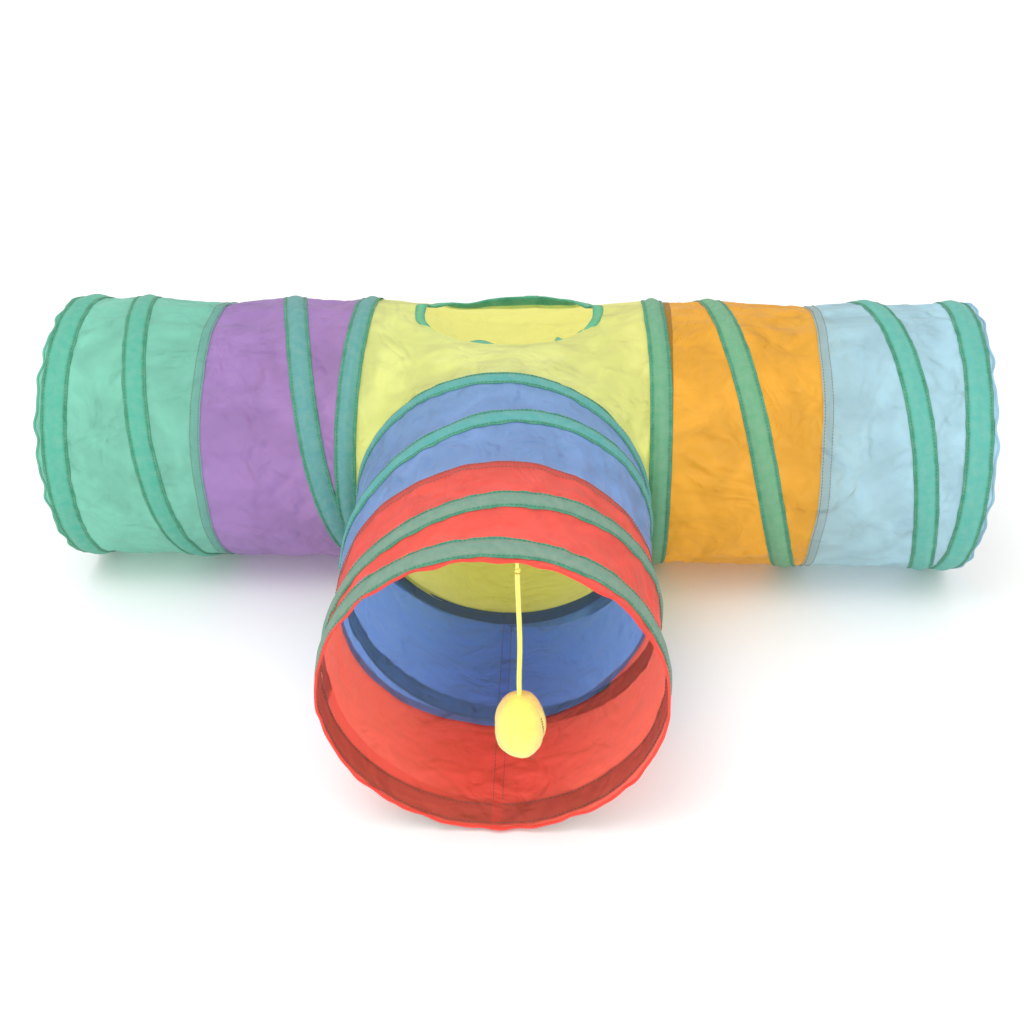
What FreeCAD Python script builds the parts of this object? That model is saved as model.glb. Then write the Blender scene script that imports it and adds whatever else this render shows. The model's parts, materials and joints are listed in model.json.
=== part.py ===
import FreeCAD, Part
import os

# A T-shaped, three-way pop-up tunnel for a small pet.
# Sewn taffeta tubes stand on spring-steel hoops and on a helical wire of two turns in each arm.
# The wires lie in channels under green tapes that are stitched to the outside of the fabric.
# Frame: +Z up, the floor at z = 0, the cross tube along X, the front arm towards -Y.
# The origin is on the floor, at the middle of the tunnel's bounding box.
# Inside each arm the working frame has z outwards along the arm, x down and its origin at the crossing.

document = FreeCAD.newDocument("cat_tunnel")
sheet = document.addObject("Spreadsheet::Sheet", "sizes")

SIZES = (
    ("tunnel_diameter", 250.0),  # over the tapes
    ("side_inner_length", 136.0),  # panel beside the crossing, left and right arms
    ("side_outer_length", 146.0),  # panel at the open end, left and right arms
    ("front_inner_length", 130.0),
    ("front_outer_length", 132.0),
    ("fabric_ply", 0.4),
    ("tape_ply", 0.4),
    ("junction_tape_width", 19.0),
    ("end_tape_width", 23.5),
    ("helix_tape_width", 21.0),
    ("hem_piping", 2.5),  # fabric that shows past the end tape
    ("corner_gap", 0.5),  # between the tapes of two junction hoops where they meet
    ("saddle_ease", 0.1),  # the front tube's radius is this much less inside the crossing
    ("seam_gap", 0.2),  # between two panels in one tube
    ("sewing_gap", 0.1),  # between the fabric and what is sewn on it
    ("lap_gap", 1.0),  # between the end of a helix tape and a hoop's tape
    ("helix_turns", 2.0),
    ("wire_diameter", 2.0),
    ("channel_radius", 1.75),  # clear room round a hoop's wire and its ferrule
    ("helix_channel_radius", 1.25),
    ("wire_joint_gap", 0.5),  # between the two ends of a hoop's wire, inside the ferrule
    ("ferrule_length", 14.0),
    ("ferrule_diameter", 3.2),
    ("ferrule_clearance", 0.05),
    ("hole_half_width", 84.0),  # peephole, along X
    ("hole_half_depth", 55.0),  # peephole, along Y
    ("hole_shift_x", -6.0),
    ("hole_shift_y", 4.0),
    ("binding_lap", 8.0),  # binding outside the peephole's cut edge
    ("binding_lip", 1.0),  # binding inside the cut edge
    ("toy_angle", 12.9),  # the toy's place round the front mouth, from the top
    ("toy_inset", 2.0),  # the cord's distance behind the front edge
    ("tack_angle", 4.0),  # the sewn patch that holds the cord, round the mouth
    ("tack_thickness", 0.6),
    ("tack_length", 8.0),
    ("hitch_radius", 2.5),
    ("free_gap", 0.4),  # between pieces that move against each other
    ("cord_diameter", 3.5),
    ("cord_length", 104.0),
    ("ball_height", 54.0),
    ("ball_width", 37.0),
    ("ball_cover", 0.8),
    ("cord_hole_gap", 0.05),  # round the cord where it goes through the ball's cover
)

for row, (name, size) in enumerate(SIZES, start=1):
    sheet.set(f"A{row}", name)
    sheet.set(f"B{row}", str(size))
    sheet.setAlias(f"B{row}", name)
document.recompute()

# Sizes that follow from the driving ones. Each is an expression that the objects are bound to.
AXIS_HEIGHT = "(sizes.tunnel_diameter / 2)"
WIRE_RADIUS = "(sizes.wire_diameter / 2)"
HOOP_RADIUS = "(sizes.tunnel_diameter / 2 - sizes.tape_ply - sizes.channel_radius)"
FABRIC_OUTSIDE = "(sizes.tunnel_diameter / 2 - sizes.tape_ply - 2 * sizes.channel_radius)"
FABRIC_INSIDE = f"({FABRIC_OUTSIDE} - sizes.fabric_ply)"
TAPE_SEAT = f"({FABRIC_OUTSIDE} + sizes.sewing_gap)"
TAPE_TOP = f"({TAPE_SEAT} + sizes.tape_ply)"
HELIX_RADIUS = f"({TAPE_SEAT} + sizes.helix_channel_radius)"
JUNCTION = "(sizes.tunnel_diameter / 2 + sizes.junction_tape_width / 2 + sizes.corner_gap)"
CROSSING_Y = (
    f"(({JUNCTION} + sizes.front_inner_length + sizes.front_outer_length"
    " - sizes.tunnel_diameter / 2) / 2)"
)
HITCH_REACH = (
    f"({FABRIC_INSIDE} - sizes.sewing_gap - sizes.tack_thickness"
    " - sizes.free_gap - sizes.hitch_radius)"
)

OVERRUN = "2"  # how far a cutting solid runs past what it cuts
HELIX_SEGMENT = 0.25  # turns of a helix in one face of a swept solid
UP = FreeCAD.Vector(0, 0, 1)
DOWN = FreeCAD.Vector(0, 0, -1)

parts = []


def value(expression):
    """The number that an expression stands for, in millimetres or degrees."""
    number = sheet.evalExpression(expression)
    return float(getattr(number, "Value", number))


def bind(piece, **expressions):
    """Binds a piece's properties to expressions; a double underscore stands for a dot."""
    for name, expression in expressions.items():
        piece.setExpression(name.replace("__", "."), expression)
    return piece


def make(kind, name):
    piece = document.addObject(kind, name)
    piece.Label = name
    return piece


def cylinder(name, radius, start, length):
    """A solid cylinder along z from start."""
    piece = make("Part::Cylinder", name)
    return bind(piece, Radius=radius, Height=length, Placement__Base__z=start)


def ring(name, radius, section_radius, plane):
    """A torus about z in the plane at that height."""
    piece = make("Part::Torus", name)
    return bind(piece, Radius1=radius, Radius2=section_radius, Placement__Base__z=plane)


def block(name, low, size):
    """A box from its lowest corner."""
    piece = make("Part::Box", name)
    x, y, z = low
    bind(piece, Placement__Base__x=x, Placement__Base__y=y, Placement__Base__z=z)
    length, width, height = size
    return bind(piece, Length=length, Width=width, Height=height)


def fuse(name, *pieces):
    piece = make("Part::MultiFuse", name)
    piece.Shapes = list(pieces)
    return piece


def cut(name, base, tool):
    piece = make("Part::Cut", name)
    piece.Base = base
    piece.Tool = tool
    return piece


def common(name, base, tool):
    piece = make("Part::Common", name)
    piece.Base = base
    piece.Tool = tool
    return piece


def tube(name, outside, inside, start, length):
    outer = cylinder(name + "_outside", outside, start, length)
    longer = f"{length} + 2 * {OVERRUN}"
    inner = cylinder(name + "_inside", inside, f"{start} - {OVERRUN}", longer)
    return cut(name, outer, inner)


def keep(piece, rotation=None):
    """Moves a finished sub-part from the crossing to its place and keeps it for the hand-in."""
    piece.Placement = FreeCAD.Placement(FreeCAD.Vector(), rotation or FreeCAD.Rotation())
    bind(piece, Placement__Base__y=CROSSING_Y, Placement__Base__z=AXIS_HEIGHT)
    parts.append(piece)
    return piece


class Arm:
    """One of the three tubes: its direction, its panels and the planes across it."""

    def __init__(self, name, outwards, panel):
        self.name = name
        self.rotation = FreeCAD.Rotation(DOWN, outwards.cross(DOWN), outwards, "ZXY")
        self.inner_length = f"sizes.{panel}_inner_length"
        self.outer_length = f"sizes.{panel}_outer_length"
        self.seam = f"({JUNCTION} + {self.inner_length})"
        self.end = f"({self.seam} + {self.outer_length})"
        self.hoop_plane = f"({self.end} - sizes.hem_piping - sizes.end_tape_width / 2)"
        self.pitch = f"(({self.hoop_plane} - {JUNCTION}) / sizes.helix_turns)"

    def keep(self, piece):
        return keep(piece, self.rotation)


ARMS = (
    Arm("left", FreeCAD.Vector(-1, 0, 0), "side"),
    Arm("right", FreeCAD.Vector(1, 0, 0), "side"),
    Arm("front", FreeCAD.Vector(0, -1, 0), "front"),
)


def arm_panels(arm):
    """The two tubes of fabric that make an arm, end to end."""
    start = f"({JUNCTION} + sizes.seam_gap / 2)"
    length = f"({arm.inner_length} - sizes.seam_gap)"
    inner = tube(f"{arm.name}_inner_panel", FABRIC_OUTSIDE, FABRIC_INSIDE, start, length)
    start = f"({arm.seam} + sizes.seam_gap / 2)"
    length = f"({arm.outer_length} - sizes.seam_gap / 2)"
    outer = tube(f"{arm.name}_outer_panel", FABRIC_OUTSIDE, FABRIC_INSIDE, start, length)
    arm.keep(inner)
    arm.keep(outer)


def hoop_tape(arm, place, plane, width):
    """A flat band round the tube with a channel arched over the hoop's wire."""
    name = f"{arm.name}_{place}_tape"
    arch = "(sizes.channel_radius + sizes.tape_ply)"
    start = f"({plane} - {width} / 2)"
    band = cylinder(name + "_band", TAPE_TOP, start, width)
    cheeks = cylinder(name + "_cheeks", HOOP_RADIUS, f"{plane} - {arch}", f"2 * {arch}")
    crown = ring(name + "_crown", HOOP_RADIUS, arch, plane)
    outside = fuse(name + "_outside", band, cheeks, crown)

    room = "sizes.channel_radius"
    bore_length = f"{width} + 2 * {OVERRUN}"
    bore = cylinder(name + "_bore", TAPE_SEAT, f"{start} - {OVERRUN}", bore_length)
    throat = cylinder(name + "_throat", HOOP_RADIUS, f"{plane} - {room}", f"2 * {room}")
    channel = ring(name + "_channel", HOOP_RADIUS, room, plane)
    hollow = fuse(name + "_hollow", bore, throat, channel)
    arm.keep(cut(name, outside, hollow))


def hoop_wire(arm, place, plane):
    """A ring of spring steel, open by a small gap that the ferrule covers."""
    name = f"{arm.name}_{place}_hoop"
    wire = ring(name + "_wire", HOOP_RADIUS, WIRE_RADIUS, plane)
    low = (
        f"{HOOP_RADIUS} - sizes.wire_diameter",
        "-sizes.wire_joint_gap / 2",
        f"{plane} - sizes.wire_diameter",
    )
    size = ("2 * sizes.wire_diameter", "sizes.wire_joint_gap", "2 * sizes.wire_diameter")
    arm.keep(cut(name, wire, block(name + "_opening", low, size)))


def ferrule(arm, place, plane):
    """The crimped sleeve over a hoop's two wire ends, curved like the hoop."""
    name = f"{arm.name}_{place}_ferrule"
    outside = ring(name + "_outside", HOOP_RADIUS, "sizes.ferrule_diameter / 2", plane)
    bore = ring(name + "_bore", HOOP_RADIUS, f"{WIRE_RADIUS} + sizes.ferrule_clearance", plane)
    sleeve = cut(name + "_ring", outside, bore)
    low = (
        f"{HOOP_RADIUS} - sizes.ferrule_diameter",
        "-sizes.ferrule_length / 2",
        f"{plane} - sizes.ferrule_diameter",
    )
    size = ("2 * sizes.ferrule_diameter", "sizes.ferrule_length", "2 * sizes.ferrule_diameter")
    arm.keep(common(name, sleeve, block(name + "_length", low, size)))


def helix(arm, name, half_width, profile):
    """A profile swept along the arm's helix, clear of both hoop tapes."""
    clear = f"({half_width} + sizes.lap_gap)"
    start = f"({JUNCTION} + sizes.junction_tape_width / 2 + {clear})"
    stop = f"({arm.hoop_plane} - sizes.end_tape_width / 2 - {clear})"
    turn = f"360 * ({start} - {JUNCTION}) / {arm.pitch}"

    path = make("Part::Helix", name + "_path")
    path.SegmentLength = HELIX_SEGMENT
    bind(path, Radius=HELIX_RADIUS, Pitch=arm.pitch, Height=f"{stop} - {start}")
    section = make("Part::Feature", name + "_section")
    section.Shape = profile
    for piece in (path, section):
        piece.Placement = FreeCAD.Placement(FreeCAD.Vector(), FreeCAD.Rotation(UP, 1))
        bind(piece, Placement__Base__z=start, Placement__Rotation__Angle=turn)

    sweep = make("Part::Sweep", name)
    sweep.Sections = [section]
    sweep.Spine = path
    sweep.Solid = True
    sweep.Frenet = True
    arm.keep(sweep)


def wire_profile():
    """The round section of a helix wire, at the start of its helix."""
    centre = FreeCAD.Vector(value(HELIX_RADIUS), 0, 0)
    along = FreeCAD.Vector(0, 1, 0)
    return Part.Wire(Part.makeCircle(value(WIRE_RADIUS), centre, along))


def tape_profile():
    """The section of a helix tape: two flat flanges and an arch over the wire."""
    seat = value(TAPE_SEAT)
    top = value(TAPE_TOP)
    middle = value(HELIX_RADIUS)
    edge = value("sizes.helix_tape_width") / 2
    room = value("sizes.helix_channel_radius")
    arch = room + value("sizes.tape_ply")

    def point(across, radius):
        return FreeCAD.Vector(radius, 0, across)

    outside = (point(-arch, middle), point(0, middle + arch), point(arch, middle))
    inside = (point(room, middle), point(0, middle + room), point(-room, middle))
    right = (outside[2], point(arch, top), point(edge, top), point(edge, seat), point(room, seat))
    left = (inside[2], point(-room, seat), point(-edge, seat), point(-edge, top), point(-arch, top))
    edges = [Part.Arc(*outside).toShape()]
    edges += Part.makePolygon(right + (inside[0],)).Edges
    edges += [Part.Arc(*inside).toShape()]
    edges += Part.makePolygon(left + (outside[0],)).Edges
    return Part.Wire(edges)


def crossing_solid(name, radius, overrun="0"):
    """The cross tube and the front tube as one solid, out to the junction planes.

    The front tube is a hair narrower, so that the line where they meet is one smooth loop.
    """
    reach = f"({JUNCTION} - sizes.seam_gap / 2 + {overrun})"
    across = make("Part::Cylinder", name + "_across")
    across.Placement = FreeCAD.Placement(
        FreeCAD.Vector(), FreeCAD.Rotation(FreeCAD.Vector(0, 1, 0), 90)
    )
    bind(across, Radius=radius, Height=f"2 * {reach}", Placement__Base__x=f"-{reach}")
    forwards = make("Part::Cylinder", name + "_forwards")
    forwards.Placement = FreeCAD.Placement(
        FreeCAD.Vector(), FreeCAD.Rotation(FreeCAD.Vector(1, 0, 0), 90)
    )
    bind(forwards, Radius=f"{radius} - sizes.saddle_ease", Height=reach)
    return fuse(name, across, forwards)


def hole_prism(name, margin):
    """An upright elliptical solid through the roof, larger than the peephole by a margin."""
    outline = make("Part::Ellipse", name + "_outline")
    bind(
        outline,
        MajorRadius=f"sizes.hole_half_width + {margin}",
        MinorRadius=f"sizes.hole_half_depth + {margin}",
        Placement__Base__x="sizes.hole_shift_x",
        Placement__Base__y="sizes.hole_shift_y",
    )
    prism = make("Part::Extrusion", name)
    prism.Base = outline
    prism.DirMode = "Custom"
    prism.Dir = UP
    prism.Solid = True
    return bind(prism, LengthFwd="sizes.tunnel_diameter")


def centre_panel():
    outside = crossing_solid("centre_outside", FABRIC_OUTSIDE)
    inside = crossing_solid("centre_inside", FABRIC_INSIDE, OVERRUN)
    wall = cut("centre_wall", outside, inside)
    keep(cut("centre_panel", wall, hole_prism("peephole", "0")))


def peephole_binding():
    """A folded tape over the cut edge: a ring on both sides of the fabric and round its edge."""
    outer = hole_prism("binding_outer", "sizes.binding_lap")
    inner = hole_prism("binding_inner", "(-sizes.binding_lip)")
    footprint = cut("binding_footprint", outer, inner)

    above = f"{FABRIC_OUTSIDE} + sizes.sewing_gap"
    below = f"{FABRIC_INSIDE} - sizes.sewing_gap"
    skin_top = crossing_solid("binding_top", f"{above} + sizes.tape_ply")
    skin_bottom = crossing_solid("binding_bottom", f"{below} - sizes.tape_ply", OVERRUN)
    skin = cut("binding_skin", skin_top, skin_bottom)

    pocket_top = crossing_solid("binding_pocket_top", above, OVERRUN)
    pocket_bottom = crossing_solid("binding_pocket_bottom", below, f"2 * {OVERRUN}")
    pocket_wall = cut("binding_pocket_wall", pocket_top, pocket_bottom)
    fold = hole_prism("binding_fold", "(-sizes.sewing_gap)")
    pocket = cut("binding_pocket", pocket_wall, fold)
    ring_solid = common("binding_ring", footprint, skin)
    keep(cut("peephole_binding", ring_solid, pocket))


def toy(arm):
    """The ball on its cord, hung from a patch sewn under the front hem."""
    drop_x = f"({HITCH_REACH} * sin(sizes.toy_angle * 1deg))"
    drop_y = f"(-({arm.end} - sizes.toy_inset))"
    hitch_z = f"({HITCH_REACH} * cos(sizes.toy_angle * 1deg))"
    cord_top = f"({hitch_z} - sizes.hitch_radius - sizes.free_gap)"
    ball_top = f"({cord_top} - sizes.cord_length)"
    ball_centre = f"({ball_top} - sizes.ball_height / 2)"

    def hang(piece, z):
        """Puts a piece on the toy's plumb line, at a height above the crossing's axis."""
        return bind(
            piece,
            Placement__Base__x=drop_x,
            Placement__Base__y=f"{drop_y} + {CROSSING_Y}",
            Placement__Base__z=f"{z} + {AXIS_HEIGHT}",
        )

    def egg(name, inset):
        piece = make("Part::Ellipsoid", name)
        piece.Angle1 = -90
        width = f"sizes.ball_width / 2 - {inset}"
        bind(piece, Radius1=f"sizes.ball_height / 2 - {inset}", Radius2=width, Radius3=width)
        return hang(piece, ball_centre)

    def upright(name, radius, low, length):
        piece = make("Part::Cylinder", name)
        bind(piece, Radius=radius, Height=length)
        return hang(piece, low)

    patch_outside = f"({FABRIC_INSIDE} - sizes.sewing_gap)"
    start = f"({arm.end} - sizes.toy_inset - sizes.tack_length / 2)"
    longer = f"sizes.tack_length + 2 * {OVERRUN}"
    sector = cylinder("cord_tack_sector", patch_outside, start, "sizes.tack_length")
    sector.Placement = FreeCAD.Placement(FreeCAD.Vector(), FreeCAD.Rotation(UP, 1))
    turn = "180 - sizes.toy_angle - sizes.tack_angle / 2"
    bind(sector, Angle="sizes.tack_angle", Placement__Rotation__Angle=turn)
    core_radius = f"{patch_outside} - sizes.tack_thickness"
    core = cylinder("cord_tack_core", core_radius, f"{start} - {OVERRUN}", longer)
    arm.keep(cut("cord_tack", sector, core))

    hitch = make("Part::Sphere", "toy_hitch")
    bind(hitch, Radius="sizes.hitch_radius")
    parts.append(hang(hitch, hitch_z))

    cord_radius = "sizes.cord_diameter / 2"
    cord_reach = "sizes.cord_length + sizes.ball_cover"
    cord_foot = f"({ball_top} - sizes.ball_cover)"
    parts.append(upright("toy_cord", cord_radius, cord_foot, cord_reach))

    hollow = egg("cover_hollow", "sizes.ball_cover")
    hole_radius = f"{cord_radius} + sizes.cord_hole_gap"
    hole = upright("cover_hole", hole_radius, ball_centre, "sizes.ball_height")
    parts.append(cut("toy_cover", egg("cover_outside", "0"), fuse("cover_room", hollow, hole)))
    parts.append(egg("toy_stuffing", "(sizes.ball_cover + sizes.sewing_gap)"))


centre_panel()
peephole_binding()
for each in ARMS:
    arm_panels(each)
    hoop_tape(each, "junction", JUNCTION, "sizes.junction_tape_width")
    hoop_tape(each, "end", each.hoop_plane, "sizes.end_tape_width")
    for where, across in (("junction", JUNCTION), ("end", each.hoop_plane)):
        hoop_wire(each, where, across)
        ferrule(each, where, across)
    helix(each, f"{each.name}_helix_tape", "sizes.helix_tape_width / 2", tape_profile())
    helix(each, f"{each.name}_helix_wire", WIRE_RADIUS, wire_profile())
toy(ARMS[2])

document.recompute()

for item in document.Objects:
    if "Invalid" in item.State or "Error" in item.State:
        raise RuntimeError(f"{item.Label} failed: {item.State}")

os.makedirs("parts", exist_ok=True)
for part in parts:
    if part.Shape.isNull() or not part.Shape.isValid():
        raise RuntimeError(f"{part.Label} has no valid shape")
    part.Shape.exportStep(f"parts/{part.Label}.step")
    count = len(part.Shape.Solids)
    print(f"{part.Label}: {count} solid, {part.Shape.Volume / 1000:.3f} cm3")
print("toy_cord is one straight run, so it has no bend radii")
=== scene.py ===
import json
import math

import bmesh
import bpy
import numpy as np
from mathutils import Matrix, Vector, noise
from mathutils.bvhtree import BVHTree


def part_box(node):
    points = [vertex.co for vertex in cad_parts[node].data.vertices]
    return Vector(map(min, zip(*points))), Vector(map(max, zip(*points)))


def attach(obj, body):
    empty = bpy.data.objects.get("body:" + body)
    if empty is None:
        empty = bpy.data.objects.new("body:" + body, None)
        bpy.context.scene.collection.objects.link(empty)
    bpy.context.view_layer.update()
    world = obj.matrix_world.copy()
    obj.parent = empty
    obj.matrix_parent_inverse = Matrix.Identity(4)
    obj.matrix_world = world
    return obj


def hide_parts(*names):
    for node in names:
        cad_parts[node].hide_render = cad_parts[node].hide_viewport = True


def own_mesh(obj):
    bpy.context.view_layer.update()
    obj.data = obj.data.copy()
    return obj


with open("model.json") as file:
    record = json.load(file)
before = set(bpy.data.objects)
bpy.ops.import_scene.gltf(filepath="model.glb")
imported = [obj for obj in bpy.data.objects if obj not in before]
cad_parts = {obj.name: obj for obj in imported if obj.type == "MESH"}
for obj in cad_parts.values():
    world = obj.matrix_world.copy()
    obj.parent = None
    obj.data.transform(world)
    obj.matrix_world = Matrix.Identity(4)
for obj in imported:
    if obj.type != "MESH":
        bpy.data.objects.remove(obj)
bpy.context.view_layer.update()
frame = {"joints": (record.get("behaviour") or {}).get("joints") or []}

# A T-shaped pop-up tunnel for a small pet: taffeta tubes on spring-steel hoops and helical wires
# that run in channels under green tapes, a peephole in the roof and a ball on a cord.
# Every length is in metres. Angles round an arm are in degrees, from the bottom of the tube.

MM = 0.001


def middle(node):
    low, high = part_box(node)
    return np.array((low + high) / 2)


FULLNESS = 2.6 * MM  # how far the soft tubes stand out past the plain CAD tubes
LIFT = 2.0 * MM  # and how far that raises their axis from the floor
CENTRE = np.array([0.0, middle("left_end_tape")[1], middle("left_end_tape")[2] + LIFT])
DOWN = np.array([0.0, 0.0, -1.0])
PANEL_LOW, PANEL_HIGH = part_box("centre_panel")
RADIUS = (PANEL_HIGH.z - PANEL_LOW.z) / 2 + FULLNESS  # outside of the fabric on a hoop

# How far the fabric hangs in between two wires, and how soon it does so.
SAG = 1.3 * MM
SAG_REACH = 20 * MM
GRID_STEP = 5.5 * MM
GRID_TURNS = 136  # grid points round a tube
FINE_STEP = 1.9 * MM
FINE_TURNS = 400
SEAM_BAND = 9.5 * MM  # the doubled strip of fabric beside the seam of two panels
LAP = 2.0  # degrees by which the two edges of a panel overlap along its lengthwise seam


def wave(theta, *terms):
    """A sum of cosines of an angle in degrees; each term is (amplitude, cycles, phase)."""
    total = 0.0
    for amplitude, cycles, phase in terms:
        total = total + amplitude * np.cos(np.radians(cycles * theta - phase))
    return total


class Arm:
    """One tube: its direction and the distances of its hoops, seam and tapes from the crossing."""

    def __init__(self, name, out, colours, lean, helix_knots):
        self.name = name
        self.out = np.array(out, float)
        self.side = np.cross(self.out, DOWN)
        self.inner_colour, self.outer_colour = colours
        self.lean = lean
        self.helix_knots = np.array(helix_knots, float)
        junction = self.reach("junction_tape")
        hoop = self.reach("end_tape")
        self.junction = sum(junction) / 2
        self.junction_width = junction[1] - junction[0]
        self.tape_start = junction[1]
        self.hoop = sum(hoop) / 2
        self.hoop_width = hoop[1] - hoop[0]
        self.tape_stop = hoop[0]
        self.helix_width = 21 * MM
        self.seam = self.reach("inner_panel")[1]
        self.end = self.reach("outer_panel")[1]
        self.joint = f"{name}_collapse"
        travel = {j["name"]: j["limits"] for j in frame["joints"] if "limits" in j}.get(self.joint)
        self.travel = travel

    def reach(self, node):
        """A node's nearest and furthest distance from the crossing, along the arm."""
        low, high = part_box(f"{self.name}_{node}")
        ends = [float(np.dot(np.array(corner) - CENTRE, self.out)) for corner in (low, high)]
        return min(ends), max(ends)

    def junction_at(self, theta):
        return self.junction + self.lean["junction"](theta)

    def seam_at(self, theta):
        return self.seam + self.lean["seam"](theta)

    def hoop_at(self, theta):
        return self.hoop + self.lean["hoop"](theta)

    def end_at(self, theta):
        return self.end + self.lean["end"](theta)

    def helix_at(self, theta):
        """The helix wire's distance along the arm at an angle from 0 to 720 degrees."""
        angles, reach = self.helix_knots[:, 0], self.helix_knots[:, 1] * MM
        slopes = np.gradient(reach, angles)
        theta = np.clip(theta, angles[0], angles[-1])
        i = np.clip(np.searchsorted(angles, theta) - 1, 0, len(angles) - 2)
        step = angles[i + 1] - angles[i]
        s = (theta - angles[i]) / step
        return (
            reach[i] * (1 + 2 * s) * (1 - s) ** 2
            + reach[i + 1] * s**2 * (3 - 2 * s)
            + step * (slopes[i] * s * (1 - s) ** 2 - slopes[i + 1] * s**2 * (1 - s))
        )

    def place(self, u, theta, radius):
        """Points in the row frame, from distances along the arm, angles and radii."""
        angle = np.radians(theta)
        across = np.cos(angle)[..., None] * DOWN + np.sin(angle)[..., None] * self.side
        share = np.clip((u - self.junction) / (self.end - self.junction), 0, 1.1)
        shift = self.lean["sideways"](share)[..., None] * self.side
        wider = self.lean["wider"](share, theta)
        return CENTRE + u[..., None] * self.out + shift + (radius + wider)[..., None] * across

    def wires(self, theta):
        """Distances of every wire from the crossing at an angle between 0 and 360 degrees."""
        theta = np.mod(theta, 360)
        return (
            self.junction_at(theta),
            self.helix_at(theta),
            self.helix_at(theta + 360),
            self.hoop_at(theta),
        )

    def nearest_wire(self, u, theta):
        return np.min([np.abs(u - wire) for wire in self.wires(theta)], axis=0)


MINT, PURPLE, YELLOW = (138, 214, 190), (182, 142, 208), (246, 253, 160)
ORANGE, SKY = (254, 188, 66), (182, 222, 238)
BLUE, RED = (138, 178, 232), (254, 102, 88)
TAPE_GREEN, NEON = (98, 206, 182), (248, 250, 112)
UNDER_SHARE = 0.2  # how much of the fabric's colour shows through a tape

ARMS = (
    Arm(
        "left",
        (-1, 0, 0),
        (PURPLE, MINT),
        {
            "sideways": lambda share: 0 * share,
            "wider": lambda share, t: 0 * share,
            "junction": lambda t: 1.5 * MM + 6 * MM * np.clip(np.sin(np.radians(t)), 0, 1) ** 2,
            "seam": lambda t: wave(t, (0.6 * MM, 3, 20), (0.5 * MM, 7, 80)),
            "hoop": lambda t: wave(t, (0.8 * MM, 2, 30)),
            "end": lambda t: wave(t, (0.9 * MM, 3, 10), (1.1 * MM, 21, 0), (0.7 * MM, 34, 50)),
        },
        (
            (0, 137), (48, 146), (100, 167), (161, 191), (189, 204), (270, 240),
            (360, 283), (414, 305), (454, 318), (538, 344), (630, 374), (720, 402),
        ),
    ),
    Arm(
        "right",
        (1, 0, 0),
        (ORANGE, SKY),
        {
            "sideways": lambda share: 0 * share,
            "wider": lambda share, t: 0 * share,
            "junction": lambda t: -1.5 * MM
            - 6.5 * MM * np.clip(np.cos(np.radians(t - 165)), 0, 1) ** 4,
            "seam": lambda t: wave(t, (0.7 * MM, 2, 120), (0.5 * MM, 8, 10)),
            "hoop": lambda t: wave(t, (0.8 * MM, 2, 200)),
            "end": lambda t: wave(t, (1.0 * MM, 3, 70), (1.0 * MM, 19, 0), (0.7 * MM, 31, 20)),
        },
        (
            (0, 137), (90, 160), (186, 190), (248, 220), (310, 250), (400, 284),
            (480, 311), (527, 327), (591, 352), (666, 375), (720, 396),
        ),
    ),
    Arm(
        "front",
        (0, -1, 0),
        (BLUE, RED),
        {
            "sideways": lambda share: 7 * MM * share**1.3,
            "wider": lambda share, t: MM * share
            * (2 - 3.5 * np.clip(-np.cos(np.radians(t)), 0, 1) ** 2 - 2 * np.clip(np.cos(np.radians(t)), 0, 1) ** 4)
            + 5 * MM * (1 - share) * np.clip(-np.sin(np.radians(t)), 0, 1) ** 2,
            "junction": lambda t: 5 * MM * np.sin(np.radians(t)) ** 2,
            "seam": lambda t: 4 * MM
            + wave(t, (-14 * MM, 1, 90), (5 * MM, 1, 0), (0.7 * MM, 7, 0), (0.4 * MM, 12, 60)),
            "hoop": lambda t: wave(t, (-6 * MM, 1, 90), (1.5 * MM, 2, 40)),
            "end": lambda t: 2 * MM
            + wave(t, (-2.0 * MM, 1, 90), (0.8 * MM, 20, 0), (0.6 * MM, 33, 40)),
        },
        (
            (0, 137), (70, 160), (134, 183), (176, 200), (222, 231), (290, 257),
            (360, 270), (474, 299), (537, 323), (580, 347), (640, 366), (720, 382),
        ),
    ),
)
LEFT, RIGHT, FRONT = ARMS


def linear(colour, share=1.0):
    """A colour given as eight-bit sRGB, as linear light with alpha."""
    out = []
    for channel in colour:
        c = channel / 255
        out.append(share * (c / 12.92 if c <= 0.04045 else ((c + 0.055) / 1.055) ** 2.4))
    return (*out, 1.0)


def sheer(below):
    """The tape's colour where it lies over fabric of another colour."""
    return linear([(1 - UNDER_SHARE) * a + UNDER_SHARE * b for a, b in zip(TAPE_GREEN, below)])


# ---------------------------------------------------------------- camera, light and floor


def add_camera():
    data = bpy.data.cameras.new("camera")
    data.lens = 47.05
    data.sensor_width = 36
    data.clip_start = 0.02
    camera = bpy.data.objects.new("camera", data)
    bpy.context.collection.objects.link(camera)
    right = Vector((0.99808, 0.05935, -0.01740))
    up = Vector((-0.01703, 0.53428, 0.84513))
    back = Vector((0.05945, -0.84322, 0.53426))
    camera.location = (0.07483, -0.98837, 0.74679)
    matrix = camera.matrix_world.to_3x3()
    matrix.col[0], matrix.col[1], matrix.col[2] = right, up, back
    camera.rotation_mode = "QUATERNION"
    camera.rotation_quaternion = matrix.to_quaternion()
    bpy.context.scene.camera = camera


def area_light(name, place, aim, size, power):
    data = bpy.data.lights.new(name, "AREA")
    data.shape = "RECTANGLE"
    data.size, data.size_y = size
    data.energy = power
    light = bpy.data.objects.new(name, data)
    bpy.context.collection.objects.link(light)
    light.location = place
    light.rotation_euler = (Vector(aim) - Vector(place)).to_track_quat("-Z", "Y").to_euler()


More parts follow.
